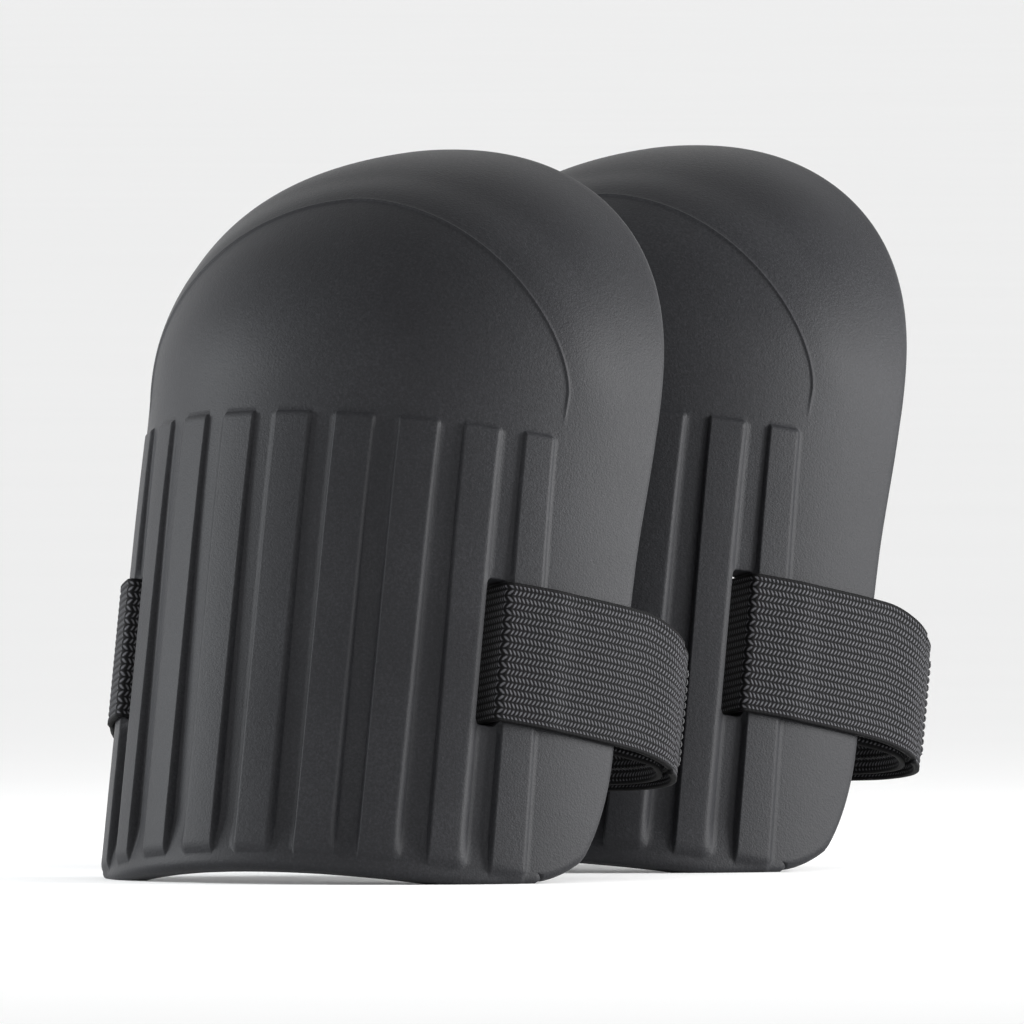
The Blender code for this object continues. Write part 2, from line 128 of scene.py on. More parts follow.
DROOP, DROOP_LEAN = 0.0045, 0.10        # how far the band hangs, and how much its top leans in
DROOP_START, DROOP_LONG = 0.0660, 0.0300
LEFT_IN = 0.0050                        # the left turn is flatter than the right one
LEFT_LONG, LEFT_WIDE = 0.018, 0.060     # the shift eases in over these, in y and x

# Fineness of the meshes
COLUMN, ROW, SPOKES = 0.0015, 0.0016, 168
MORE_ROWS = (0.0034, 0.0085, 0.0110, 0.0170, 0.1315, 0.1340)   # near the foot and the bead's end
ACROSS_WEB, ACROSS_TAPE = np.linspace(0, 1, ROWS * 5 + 1), np.linspace(0, 1, 49)


def smooth(x):
    """0 up to x = 0, 1 from x = 1, and an even ease between."""
    x = np.clip(x, 0.0, 1.0)
    return x * x * (3 - 2 * x)


# ---------------------------------------------------------------- the form of the moulding

def plan_table(steps=520, longest=0.130):
    """Plan outline of the pad, by length from the centre line."""
    step = longest / steps
    s = (np.arange(steps) + 0.5) * step
    turn = BEND_1 * s + BEND_3 * s**3
    x = np.concatenate([[0.0], np.cumsum(np.cos(turn) * step)])
    y = np.concatenate([[0.0], np.cumsum(np.sin(turn) * step)])
    return np.arange(steps + 1) * step, x, y


PLAN = plan_table()


def plan(s):
    """(x, y) of the plan outline at length s from the centre line."""
    away = np.abs(s)
    return np.sign(s) * np.interp(away, PLAN[0], PLAN[1]), np.interp(away, PLAN[0], PLAN[2])


FLOOR_Y = float(plan(FOOT_START)[1])


def floor_z(y):
    """Height of the floor at y, in the pad's own frame."""
    return (y - FLOOR_Y) * math.tan(LEAN)


def wing_edge(t):
    """Half length of the moulding round the outside at height t."""
    drop = np.clip((CORNER_TOP - t) / CORNER_TALL, 0.0, 1.0)
    up = np.clip((t - CORNER_TOP) / (STRAIGHT - CORNER_TOP), 0.0, 1.0)
    spread = WING_SPREAD * smooth((t - SPREAD_FROM) / SPREAD_OVER)
    return WING_LOW + (WING_HIGH - WING_LOW) * up + spread - CORNER_LONG * (1 - np.sqrt(1 - drop * drop))


def form(s, t):
    """The plain outer form at length s round the outside and height t. Above STRAIGHT, (s, t)
    is a point of the flat half disc that makes the hood."""
    s, t = np.broadcast_arrays(np.asarray(s, float), np.asarray(t, float))
    up = np.maximum(t - STRAIGHT, 0.0)
    rho, beta = np.hypot(s, up), np.arctan2(up, np.abs(s) + 1e-12)
    across, y = plan(rho)
    c, k = np.cos(beta), np.sin(beta)
    start, end = (rho - SHOULDER_IN) / SHOULDER_FADE, (SHOULDER_OUT - rho) / SHOULDER_FADE
    power = HOOD_POWER + SHOULDER * smooth(start) * smooth(end)
    full = (c**power + k**power) ** (-1 / power)
    x = np.sign(s) * across * c * full
    z = np.where(t > STRAIGHT, STRAIGHT + HOOD_RISE * across * k * full, t)
    y = y + NOD * (np.maximum(0.0, z - NOD_START) / NOD_SPAN) ** 2
    return np.stack([x, y, z], -1)


def unit(v):
    """Each vector with its length made 1."""
    return v / np.maximum(np.linalg.norm(v, axis=-1, keepdims=True), 1e-12)


def directions(s, t, d=0.0004):
    """Outward normal and the direction along the outline."""
    along = form(s + d, t) - form(s - d, t)
    up = form(s, t + d) - form(s, t - d)
    return unit(np.cross(along, up)), unit(along)


def thickness(s, t):
    """Thickness of the foam."""
    away = np.where(t > STRAIGHT, WING_TOP - np.hypot(s, t - STRAIGHT), wing_edge(t) - np.abs(s))
    return EDGE_THICK + EXTRA_THICK * smooth(away / THIN_WIDE) * smooth(t / THIN_TALL)


def arch_reach(s, t):
    """1 on the line round the knee cap, less inside it, more outside."""
    up = np.maximum(t - STRAIGHT, 0.0)
    return ((np.abs(s) / CAP_WIDE) ** CAP_POWER + (up / CAP_TALL) ** CAP_POWER) ** (1 / CAP_POWER)


def rib_sides(low):
    """Edges of the ribs and widths of their sides on the right half. low is 1 at the foot."""
    low = np.asarray(low, float)[..., None]
    outer = np.array(OUTER_TOP) * (1 - low) + np.array(OUTER_FOOT) * low
    width = np.full(low.shape[:-1] + (len(RIBS_TOP),), INNER_SIDE)
    width[..., 0::2] = outer
    return np.array(RIBS_TOP) * (1 - low) + np.array(RIBS_FOOT) * low, width


def rib(s, t):
    """1 on a rib, 0 beside it, with a rounded shoulder."""
    edge, width = rib_sides(np.clip(1 - t / RIB_HIGH, 0, 1))
    out = (edge + width / 2 - np.abs(s)[..., None]) / width
    up = np.clip(np.minimum((t - RIB_LOW) / END_FOOT, (RIB_HIGH - t) / END_TOP), 0, 1)
    found = np.zeros(np.broadcast(s, t).shape)
    for n in range(0, len(RIBS_TOP), 2):
        side = out[..., 0] if n == 0 else np.minimum(out[..., n], 1 - out[..., n - 1])
        corner = np.clip(1 - np.hypot(1 - np.clip(side, 0, 1), 1 - up), 0, 1)
        found = np.maximum(found, np.sin(corner * np.pi / 2))
    return found


def relief(s, t):
    """Height of the outer face over the plain form: swelling hood, bead, channels and ribs."""
    s, t = np.asarray(s, float), np.asarray(t, float)
    reach = np.maximum(arch_reach(s, t), 1e-3)
    near = smooth((CAP_OUT - reach * CAP_WIDE) / CAP_FADE)
    high = CAP_RISE * near * smooth((t - RIB_HIGH) / CAP_START)
    off = np.maximum(np.hypot(s, np.maximum(t - STRAIGHT, 0.0)), 1e-4) * (1 - 1 / reach)
    bead = np.clip(1 - (off / BEAD_HALF) ** 2, 0.0, 1.0) ** 1.5
    high = high + BEAD_HIGH * bead * smooth((t - BEAD_FOOT) / BEAD_FADE)
    deep = CHANNEL * np.clip(1 - t / RIB_HIGH, 0, 1) * smooth((t - EDGE_ROUND) / CHANNEL_FADE)
    floor = high - deep * (np.abs(s) < CHANNELS_OUT)
    return floor + (RIB_FIRM - floor) * rib(s, t)


# ---------------------------------------------------------------- the shell's mesh

def spaces(length, step):
    """How many spaces of about the given step go into a length."""
    return max(1, math.ceil(length / step - 0.2))


def filled(fixed, step):
    """The fixed values with more between them, about step apart."""
    found = [fixed[0]]
    for a, b in zip(fixed, fixed[1:]):
        count = spaces(b - a, step)
        found += [a + (b - a) * (n + 1) / count for n in range(count)]
    return np.array(found)


def column_lines():
    """Columns of the right half, from the centre line, as lengths at the top and at the foot.
    Returns them with the places of the slot's two sides and of the arch."""
    top, foot = [0.0], [0.0]
    (edges_t, widths_t), (edges_f, widths_f) = rib_sides(0.0), rib_sides(1.0)
    for a, b, wide_t, wide_f in zip(edges_t, edges_f, widths_t, widths_f):
        for part in SIDE_LINES:
            part = part if wide_t > INNER_SIDE else -part
            top.append(a + part * wide_t)
            foot.append(b + part * wide_f)
    top[1:], foot[1:] = sorted(top[1:]), sorted(foot[1:])
    top += [CAP_WIDE + d for d in ARCH_LINES]
    foot += [ARCH_FOOT + d / 2 for d in ARCH_LINES]
    top.append(float(wing_edge(STRAIGHT)))
    foot.append(float(wing_edge(0.0)))
    lines_t, lines_f = [top[0]], [foot[0]]
    for a, b, c, d in zip(top, top[1:], foot, foot[1:]):
        count = spaces(b - a, COLUMN)
        for n in range(count):
            lines_t.append(a + (b - a) * (n + 1) / count)
            lines_f.append(c + (d - c) * (n + 1) / count)
    lines_t, lines_f = np.array(lines_t), np.array(lines_f)
    places = [int(np.argmin(np.abs(lines_t - v))) for v in (RIBS_TOP[6], RIBS_TOP[7], CAP_WIDE)]
    return lines_t, lines_f, places


def row_heights():
    """Heights of the rows of the upright part, close together where the form turns."""
    end = (0.0, 0.0003, 0.0006, 0.0009, 0.0014, 0.0022)
    fixed = {EDGE_ROUND, STRAIGHT, BEAD_FOOT, *MORE_ROWS}
    fixed |= {RIB_LOW + d for d in end} | {RIB_HIGH - d for d in end}
    corner = (0.0, 0.0006, 0.0012, 0.0018, 0.0026)
    fixed |= {SLOT_LOW + d for d in corner} | {SLOT_HIGH - d for d in corner}
    return filled(sorted(fixed), ROW)


def lower_rows(top, foot):
    """(s, t) of the upright part, row by row, left edge to right edge."""
    heights = row_heights()
    edge = wing_edge(heights)
    low = np.clip(1 - heights / RIB_HIGH, 0.0, 1.0)[:, None]
    right = top * (1 - low) + foot * low
    last = int(np.argmin(np.abs(top - (CAP_WIDE + ARCH_LINES[-1]))))
    inner, outer = right[:, last:last + 1], right[:, -1:]
    share = (right[:, last:] - inner) / (outer - inner)
    right[:, last:] = inner + share * (edge[:, None] - inner)
    s = np.concatenate([-right[:, :0:-1], right], 1)
    t = np.repeat(heights[:, None], s.shape[1], 1)
    lift = 1 - np.clip((t - EDGE_ROUND) / FOOT_BLEND, 0, 1)
    t = t + lift * np.maximum(0.0, floor_z(plan(s)[1]) - FOOT_BITE)
    return s, t, heights


def round_corners(s, t, rows, first, last):
    """Pulls the grid round the slot's four corners, so that the hole gets round ones."""
    a, b = rows
    ring = [(r, c) for r in range(a, b + 1) for c in (first, last)]
    ring += [(r, c) for c in range(first + 1, last) for r in (a, b)]
    old_s, old_t = s.copy(), t.copy()
    for r, c in ring:
        left, right = old_s[r, first], old_s[r, last]
        along = min(old_s[r, c] - left, right - old_s[r, c])
        up = min(old_t[r, c] - old_t[a, c], old_t[b, c] - old_t[r, c])
        if along >= SLOT_CORNER or up >= SLOT_CORNER:
            continue
        if along <= up:
            angle = (1 - up / SLOT_CORNER) * math.pi / 4
            new_along, new_up = 1 - math.cos(angle), 1 - math.sin(angle)
        else:
            angle = (1 - along / SLOT_CORNER) * math.pi / 4
            new_along, new_up = 1 - math.sin(angle), 1 - math.cos(angle)
        new_along, new_up = new_along * SLOT_CORNER, new_up * SLOT_CORNER
        s[r, c] = left + new_along if old_s[r, c] - left < right - old_s[r, c] else right - new_along
        t[r, c] = old_t[a, c] + new_up if r - a < b - r else old_t[b, c] - new_up


def hood_points(top, arch):
    """(s, t) of the hood, ring by ring from the middle, spoke by spoke from the right."""
    beta = np.pi * np.arange(1, SPOKES) / SPOKES
    c, k = np.abs(np.cos(beta)), np.sin(beta)
    line = ((c / CAP_WIDE) ** CAP_POWER + (k / CAP_TALL) ** CAP_POWER) ** (-1 / CAP_POWER)
    rim = top[-1] + (WING_TOP - top[-1]) * smooth(1.2 * k)
    rho = top[1:, None]
    inside = rho * line / top[arch]
    outside = line + (rho - top[arch]) * (rim - line) / (top[-1] - top[arch])
    rho = np.where(rho <= top[arch] + 1e-9, inside, outside)
    return rho * np.cos(beta), STRAIGHT + rho * np.sin(beta)


def edge_rings(outer, normal, thick, loop, radius, sign):
    """Points that round the foam over from its outer to its inner face along a loop of vertices.
    sign is 1 at the outer edge, where the foam ends, and -1 round a slot."""
    run = outer[np.roll(loop, -1)] - outer[np.roll(loop, 1)]
    out = sign * unit(np.cross(run, normal[loop]))
    start, up, deep = outer[loop], normal[loop], thick[loop][:, None]
    rings = []
    for angle in (18, 36, 54, 72, 90, 90, 108, 126, 144, 162):
        a = math.radians(angle)
        middle = radius if len(rings) < 5 else deep - radius
        rings.append(start - middle * up + radius * (math.cos(a) * up + math.sin(a) * out))
    return rings


def outer_faces(grid, hood_count, cut, slots):
    """Quads and middle triangles of the outer face, and its rings of vertices round the hood."""
    half = grid.shape[1] // 2
    a, b, c, d = grid[:-1, :-1], grid[:-1, 1:], grid[1:, 1:], grid[1:, :-1]
    keep = np.ones(a.shape, bool)
    for first, last in slots:
        keep[cut[0]:cut[1], first:last] = False
    quads = [np.stack([q[keep] for q in (a, b, c, d)], 1)]
    polar = np.empty((half + 1, SPOKES + 1), int)
    polar[0, :] = grid[-1, half]
    polar[1:, 0], polar[1:, -1] = grid[-1, half + 1:], grid[-1, half - 1::-1]
    polar[1:, 1:-1] = grid.size + np.arange(hood_count).reshape(half, SPOKES - 1)
    quads.append(np.stack([polar[1:-1, :-1].ravel(), polar[2:, :-1].ravel(),
                           polar[2:, 1:].ravel(), polar[1:-1, 1:].ravel()], 1))
    return np.concatenate(quads), np.stack([polar[0, :-1], polar[1, :-1], polar[1, 1:]], 1), polar


def rim_loops(grid, polar, cut, slots):
    """Loops of vertices round the outer edge and the slots, with their radius and sign."""
    edge = np.concatenate([grid[0], grid[1:, -1], polar[-1, 1:-1], grid[:0:-1, 0]])
    loops = [(edge, EDGE_ROUND, 1)]
    for first, last in slots:
        ring = [*grid[cut[0], first:last], *grid[cut[0]:cut[1], last],
                *grid[cut[1], last:first:-1], *grid[cut[1]:cut[0]:-1, first]]
        loops.append((np.array(ring), SLOT_LIP, -1))
    return loops


def shell_mesh():
    """Vertices and faces of one moulding, in its own frame."""
    top, foot, (slot_in, slot_out, arch) = column_lines()
    s, t, heights = lower_rows(top, foot)
    half = s.shape[1] // 2
    cut = [int(np.argmin(np.abs(heights - v))) for v in (SLOT_LOW, SLOT_HIGH)]
    slots = [(half + slot_in, half + slot_out), (half - slot_out, half - slot_in)]
    for first, last in slots:
        round_corners(s, t, cut, first, last)
    hs, ht = hood_points(top, arch)
    all_s, all_t = np.concatenate([s.ravel(), hs.ravel()]), np.concatenate([t.ravel(), ht.ravel()])
    point, (normal, _) = form(all_s, all_t), directions(all_s, all_t)
    thick = thickness(all_s, all_t)
    outer = point + normal * relief(all_s, all_t)[:, None]
    inner = point - normal * thick[:, None]

    grid = np.arange(s.size).reshape(s.shape)
    quads, fan, polar = outer_faces(grid, hs.size, cut, slots)
    count = len(outer)
    verts = [outer, inner]
    faces = [*quads.tolist(), *fan.tolist()]
    faces += [*(quads[:, ::-1] + count).tolist(), *(fan[:, ::-1] + count).tolist()]
    at = 2 * count
    for loop, radius, sign in rim_loops(grid, polar, cut, slots):
        rings = edge_rings(outer, normal, thick, loop, radius, sign)
        verts += rings
        lines = [loop] + [at + n * len(loop) + np.arange(len(loop)) for n in range(len(rings))]
        lines.append(loop + count)
        at += len(loop) * len(rings)
        for one, two in zip(lines, lines[1:]):
            strip = np.stack([one, two, np.roll(two, -1), np.roll(one, -1)], 1)
            faces += strip[:, ::sign].tolist()
    verts = np.concatenate(verts)
    verts[:, 2] = np.maximum(verts[:, 2], floor_z(verts[:, 1]))
    return verts, faces


# ---------------------------------------------------------------- the strap's paths

def lengths(points):
    """Length along a line up to each of its points."""
    return np.concatenate([[0.0], np.cumsum(np.linalg.norm(np.diff(points, axis=0), axis=1))])


def even(points, count):
    """count points along the line through the given points, the same distance apart."""
    points = np.asarray(points, float)
    reach = lengths(points)
    want = np.linspace(0, reach[-1], count)
    return np.stack([np.interp(want, reach, points[:, n]) for n in (0, 1)], 1)


def sweep(points, count):
    """A smooth curve through the points."""
    p = np.asarray(points, float)
    p = np.concatenate([[2 * p[0] - p[1]], p, [2 * p[-1] - p[-2]]])
    u = np.arange(24)[:, None] / 24
    fine = []
    for a, b, c, d in zip(p, p[1:], p[2:], p[3:]):
        bend, twist = 2 * a - 5 * b + 4 * c - d, 3 * b - a - 3 * c + d
        fine.append(0.5 * (2 * b + (c - a) * u + bend * u**2 + twist * u**3))
    return even(np.concatenate([*fine, p[-2:-1]]), count)


def sides(path):
    """Unit vector at each point of a plan path, pointing away from the pad's middle."""
    run = np.gradient(path, axis=0)
    return unit(np.stack([run[:, 1], -run[:, 0]], 1))


WEB_MIDDLE = (WEB_LOW + WEB_HIGH) / 2


def wing_line(s, depth):
    """Plan points at lengths s round the wing, depth over the plain form."""
    point, (normal, _) = form(s, WEB_MIDDLE), directions(s, WEB_MIDDLE)
    return (point + normal * np.reshape(depth, (-1, 1)))[:, :2]


def outer_route():
    """The webbing's middle, right half: on the wing, past its edge, to the centre."""
    s = np.linspace(0.0700, float(wing_edge(WEB_MIDDLE)) + 0.0005, 8)
    lift = CAP_RISE * smooth((0.0865 - s) / 0.0080)
    return sweep([*wing_line(s, lift + GAP + WEB_THICK / 2), *SWELL], 260)


# Places along the route are counted in steps of ROUTE_STEP
ROUTE = outer_route()
ROUTE_SIDE = sides(ROUTE)
ROUTE_STEP = float(np.linalg.norm(ROUTE[1] - ROUTE[0]))
NECK_END = int(np.argmin(np.abs(ROUTE[:, 1] - TURN_Y))) + round(NECK / ROUTE_STEP)
FIRST = round(GAP / ROUTE_STEP + 0.5)
TAB_COUNT = round(TAB_LONG / ROUTE_STEP)
FOLD_COUNT = round(FOLD_LONG / ROUTE_STEP)
HOOK_FIRST = round(HOOK_AFTER / ROUTE_STEP)
HOOK_LAST = TAB_COUNT - round(HOOK_BEFORE / ROUTE_STEP)


def quarter(s, depth, radius, first, last, steps=8):
    """Quarter turn round one corner of the slot's rear lip."""
    normal, along = directions(s, WEB_MIDDLE)
    centre = form(s, WEB_MIDDLE) + normal * depth
    angle = np.radians(np.linspace(first, last, steps + 1))[:, None]
    return (centre + radius * (np.cos(angle) * along + np.sin(angle) * normal))[:, :2]


def inner_route(closeness):
    """From the outer layer's start through the slot, and along the inside of the wing to the neck."""
    half = GAP + WEB_THICK / 2
    deep = float(thickness(SLOT_BACK, WEB_HIGH))
    slot = np.concatenate([quarter(SLOT_BACK, CAP_RISE, half + GAP / 3, 90, 180),
                           quarter(SLOT_BACK, -deep, half + SLACK / 2, 180, 270)])
    edge = float(wing_edge(WEB_MIDDLE))
    s = np.linspace(0.0690, edge + EDGE_ROUND, 8)
    on = np.minimum(s, edge)
    inside = wing_line(on, -(thickness(on, WEB_HIGH) + half + SLACK))
    inside = inside + (s - on)[:, None] * directions(edge, WEB_MIDDLE)[1][:2]
    apart = EDGE_THICK + 2 * half + SLACK
    first = int(np.argmin(np.linalg.norm(ROUTE - inside[-1], axis=1)))
    places = [*range(first + 4, NECK_END + 1, 4), NECK_END]
    near = smooth((np.array(places) - first) / (NECK_END - first))
    gap = apart + (closeness - apart) * near
    inside = np.concatenate([inside, ROUTE[places] - ROUTE_SIDE[places] * gap[:, None]])
    return np.concatenate([slot, sweep(inside, 90)])


def mirror(path):
    """The same plan path on the other half."""
    return path * (-1, 1)


def strap_paths():
    """Plan paths of one strap: the whole webbing, from the sewn fold to the right neck, and the
    right half of the band, from the neck to the centre."""
    right = ROUTE[NECK_END:] - ROUTE_SIDE[NECK_END:] * CLOSED
    left = mirror(ROUTE[NECK_END:] - ROUTE_SIDE[NECK_END:] * SEWN)
    blend = len(right) // 3
    ease = 0.5 * (CLOSED - SEWN) * smooth(1 - np.arange(blend) / blend)
    right[-1:-1 - blend:-1, 1] += ease
    left[-1:-1 - blend:-1, 1] -= ease
    band = even(np.concatenate([left[:-1], right[::-1]]), 170)
    outer = ROUTE[:NECK_END + 1:2]
    inner_left, inner_right = mirror(inner_route(SEWN)), inner_route(CLOSED)[::-1]
    fold = mirror(ROUTE[NECK_END + FOLD_COUNT:NECK_END:-2])
    whole = [fold, mirror(outer[::-1]), inner_left[:-1], band, inner_right[1:], outer]
    return np.concatenate(whole), right


def ribbon(path, low, high, thick, across, surface=None, taper=0.0):
    """A flat band standing along a plan path. across lists heights from 0 to 1, and surface gives
    how far each face is sunk at (length, height). Returns vertices, faces and (length, height)."""
    side, reach = sides(path), lengths(path)
    z = low + (high - low) * across
    end = thick / 2
    faces_z = np.concatenate([z, [high + 0.3 * end], z[::-1], [low - 0.3 * end]])
    way = np.concatenate([np.ones(len(z)), [0.0], -np.ones(len(z)), [0.0]])
    u, v = np.meshgrid(reach, faces_z - low, indexing="ij")
    sunk = surface(u, v) if surface else 0.0
    offset = way * (end - sunk)
    if taper:
        near = np.minimum(reach, reach[-1] - reach)[:, None]
        offset = offset * (0.35 + 0.65 * np.sqrt(smooth(near / taper)))
    xy = path[:, None, :] + side[:, None, :] * offset[..., None]
    verts = np.concatenate([xy, np.broadcast_to(faces_z, u.shape)[..., None]], -1)
    n, m = u.shape
    grid = np.arange(n * m).reshape(n, m)
    a, b = grid[:-1], np.roll(grid[:-1], -1, 1)
    c, d = np.roll(grid[1:], -1, 1), grid[1:]
    faces = np.stack([a.ravel(), b.ravel(), c.ravel(), d.ravel()], 1).tolist()
    faces += [grid[0, ::-1].tolist(), grid[-1].tolist()]
    return verts.reshape(-1, 3), faces, np.stack([u.ravel(), v.ravel()], 1)


def weave(u, v):
    """The weave's lengthwise rows, with a firmer selvedge at each edge."""
    width = WEB_HIGH - WEB_LOW
    row = 0.5 + 0.5 * np.cos(2 * np.pi * ROWS * v / width)
    edge = np.minimum(v, width - v)
    groove = smooth(1 - np.abs(edge - GROOVE_AT) / GROOVE_HALF)
    return ROW_DEEP * row * smooth(edge / SELVEDGE) + GROOVE_DEEP * groove


def nap(u, v):
    """The uneven fuzzy face of loop tape and the rows of hook tape."""
    along = np.sin(u * 4300 + 2.1 * np.sin(v * 2900))
    across = np.sin(v * 3700 + 1.7 * np.sin(u * 2300))
    return NAP_DEEP * (1 + along * across)


def stitch(xy, z, out, offset):
    """Rings of points round one stitch."""
    rise, size = np.array(STITCH_RISES) * THREAD, np.array(STITCH_SIZES) * THREAD
    centre = np.concatenate([xy + out * (abs(offset) + rise)[:, None], z[:, None]], 1)
    run = unit(np.gradient(centre, axis=0))
    lift = np.concatenate([out, np.zeros((len(out), 1))], 1)
    cross = unit(np.cross(run, lift))
    lift = np.cross(cross, run)
    angle = np.radians(np.arange(0, 360, 60))[None, :, None]
    ring = np.cos(angle) * lift[:, None] + np.sin(angle) * cross[:, None]
    return centre[:, None] + size[:, None, None] * ring


def tube_faces(at, rings, around):
    """Faces of a closed tube whose rings of points start at index at."""
    faces = []
    for i in range(rings - 1):
        for k in range(around):
            a, b = at + i * around + k, at + i * around + (k + 1) % around
            faces.append([a, b, b + around, a + around])
    faces.append([at + k for k in range(around)][::-1])
    faces.append([at + (rings - 1) * around + k for k in range(around)])
    return faces


def stitches(path, low, high, offset, crossed=False):
    """Box of single stitches on one face of the webbing, and a cross in it if crossed."""
    side, reach = sides(path), lengths(path)
    corners = [(0, low), (reach[-1], low), (reach[-1], high), (0, high)]
    lines = list(zip(corners, corners[1:] + corners[:1]))
    if crossed:
        lines += [(corners[0], corners[2]), (corners[3], corners[1])]
    verts, faces, at = [], [], 0
    for (u0, z0), (u1, z1) in lines:
        count = max(1, round(math.hypot(u1 - u0, z1 - z0) / STITCH))
        for n in range(count):
            share = (n + np.array(STITCH_PLACES)) / count
            u, z = u0 + (u1 - u0) * share, z0 + (z1 - z0) * share
            xy = np.stack([np.interp(u, reach, path[:, k]) for k in (0, 1)], 1)
            out = unit(np.stack([np.interp(u, reach, side[:, k]) for k in (0, 1)], 1))
            rings = stitch(xy, z, out * np.sign(offset), offset)
            verts.append(rings.reshape(-1, 3))
            faces += tube_faces(at, *rings.shape[:2])
            at += len(verts[-1])
    return np.concatenate(verts), faces


# ---------------------------------------------------------------- materials

class Nodes:
    """A material's node tree, with short ways to add to it."""

    def __init__(self, name, roughness, specular):
        self.material = bpy.data.materials.new(name)
        self.material.use_nodes = True
        self.tree = self.material.node_tree
        self.shader = self.tree.nodes["Principled BSDF"]
        self.shader.inputs["Roughness"].default_value = roughness
        self.shader.inputs["Specular IOR Level"].default_value = specular

    def new(self, kind, **inputs):
        node = self.tree.nodes.new(kind)
        for key, value in inputs.items():
            self.put(node.inputs[key.replace("_", " ")], value)
        return node

    def put(self, socket, value):
        if isinstance(value, bpy.types.NodeSocket):
            self.tree.links.new(value, socket)
        else:
            socket.default_value = value

    def math(self, operation, a, b=0.0, c=None):
        node = self.tree.nodes.new("ShaderNodeMath")
        node.operation = operation
        self.put(node.inputs[0], a)
        self.put(node.inputs[1], b)
        if c is not None:
            self.put(node.inputs[2], c)
        return node.outputs[0]

    def noise(self, vector, scale, detail=3.0, roughness=0.6):
        node = self.new("ShaderNodeTexNoise", Vector=vector, Scale=scale, Detail=detail,
                        Roughness=roughness)
        return node.outputs["Fac"]

    def ramp(self, value, stops):
        node = self.new("ShaderNodeValToRGB", Fac=value)
        marks = node.color_ramp.elements
        while len(marks) < len(stops):
            marks.new(0.5)
        for mark, (place, colour) in zip(marks, stops):
            mark.position = place
            mark.color = (*colour, 1.0)
        return node.outputs["Color"]

    def bump(self, height, distance, strength):
        node = self.new("ShaderNodeBump", Height=height, Distance=distance, Strength=strength)
        return node.outputs["Normal"]

    def finish(self, colour, normal, roughness=None):
        self.put(self.shader.inputs["Base Color"], colour)
        self.put(self.shader.inputs["Normal"], normal)
        if roughness is not None:
            self.put(self.shader.inputs["Roughness"], roughness)
        return self.material


def foam_look():
    """Charcoal EVA foam with a fine leathery skin."""
    n = Nodes("foam_look", 0.55, 0.12)
    where = n.new("ShaderNodeTexCoord").outputs["Object"]
    grain = n.noise(where, 1300.0, 4.0, 0.65)
    coarse = n.noise(where, 600.0, 2.0, 0.5)
    cloud = n.noise(where, 22.0, 3.0, 0.55)
    cells = n.new("ShaderNodeTexVoronoi", Vector=where, Scale=1800.0).outputs["Distance"]
    skin = n.math("ADD", n.math("MULTIPLY", grain, 0.6), n.math("MULTIPLY", cells, 0.4))
    skin = n.math("ADD", skin, n.math("MULTIPLY", coarse, 0.35))
    shade = n.math("ADD", n.math("MULTIPLY", grain, 0.7), n.math("MULTIPLY", cloud, 0.3))
    colour = n.ramp(shade, [(0.30, (0.0108, 0.0110, 0.0124)), (0.52, (0.0162, 0.0165, 0.0184)),
                            (0.75, (0.028, 0.0285, 0.0315))])
    rough = n.math("ADD", n.math("MULTIPLY", grain, 0.22), 0.42)
    return n.finish(colour, n.bump(skin, 0.00016, 0.7), rough)


def webbing_look():
    """Black woven elastic on lengthwise ribs, with a bound selvedge. Its zig-zag of lighter streaks is
    painted sheen on the yarn.
    """
    n = Nodes("webbing_look", 0.82, 0.12)
    place = n.new("ShaderNodeTexCoord").outputs["UV"]
    parts = n.new("ShaderNodeSeparateXYZ", Vector=place)
    u, v = parts.outputs["X"], parts.outputs["Y"]
    width = WEB_HIGH - WEB_LOW
    rows = n.math("MULTIPLY", v, ROWS / width)
    zig = n.math("PINGPONG", rows, 1.0)
    jitter = n.math("MULTIPLY", n.noise(place, 160.0, 1.0), 0.35)
    phase = n.math("ADD", n.math("MULTIPLY", u, 1 / STREAK_LONG), n.math("MULTIPLY", zig, STREAK_LEAN))
    phase = n.math("ADD", phase, jitter)
    streak = n.math("MULTIPLY_ADD", n.math("SINE", n.math("MULTIPLY", phase, 2 * math.pi)), 0.5, 0.5)
    row = n.math("ABSOLUTE", n.math("SINE", n.math("MULTIPLY", rows, math.pi)))
    row = n.math("POWER", row, 0.7)
    # the streaks, cut off at the row lines: raised yarn for the bump, and painted sheen in the colour,
    # which fades out between the rows
    yarn_bump_and_sheen = n.math("MULTIPLY", streak, row)
    fibre = n.noise(place, 2600.0, 2.0)
    edge = n.math("MINIMUM", v, n.math("SUBTRACT", width, v))
    inside = n.math("GREATER_THAN", edge, 0.0008)
    # the selvedge gets less of the painted sheen and a lower bump
    yarn_bump_and_sheen = n.math("MULTIPLY", yarn_bump_and_sheen, n.math("MULTIPLY_ADD", inside, 0.65, 0.35))
    tone = n.math("MULTIPLY", yarn_bump_and_sheen, n.math("MULTIPLY_ADD", fibre, 0.9, 0.55))
    # the light end of this ramp is painted sheen on the black yarn
    colour = n.ramp(tone, [(0.0, (0.0012, 0.0012, 0.0014)), (0.40, (0.0060, 0.0060, 0.0068)),
                           (0.85, (0.070, 0.070, 0.076))])
    height = n.math("ADD", yarn_bump_and_sheen, n.math("MULTIPLY", fibre, 0.25))
    return n.finish(colour, n.bump(height, 0.00016, 0.8))


def tape_look(name, scale, dark, light, roughness):
    """Hook tape or loop tape: fine uneven nylon."""
    n = Nodes(name, roughness, 0.3)
    place = n.new("ShaderNodeTexCoord").outputs["UV"]
    fuzz = n.noise(place, scale, 5.0, 0.7)
    dots = n.new("ShaderNodeTexVoronoi", Vector=place, Scale=scale * 0.6).outputs["Distance"]
    height = n.math("ADD", fuzz, n.math("MULTIPLY", dots, 0.6))
    colour = n.ramp(fuzz, [(0.3, dark), (0.75, light)])
    return n.finish(colour, n.bump(height, 0.0005, 1.0))


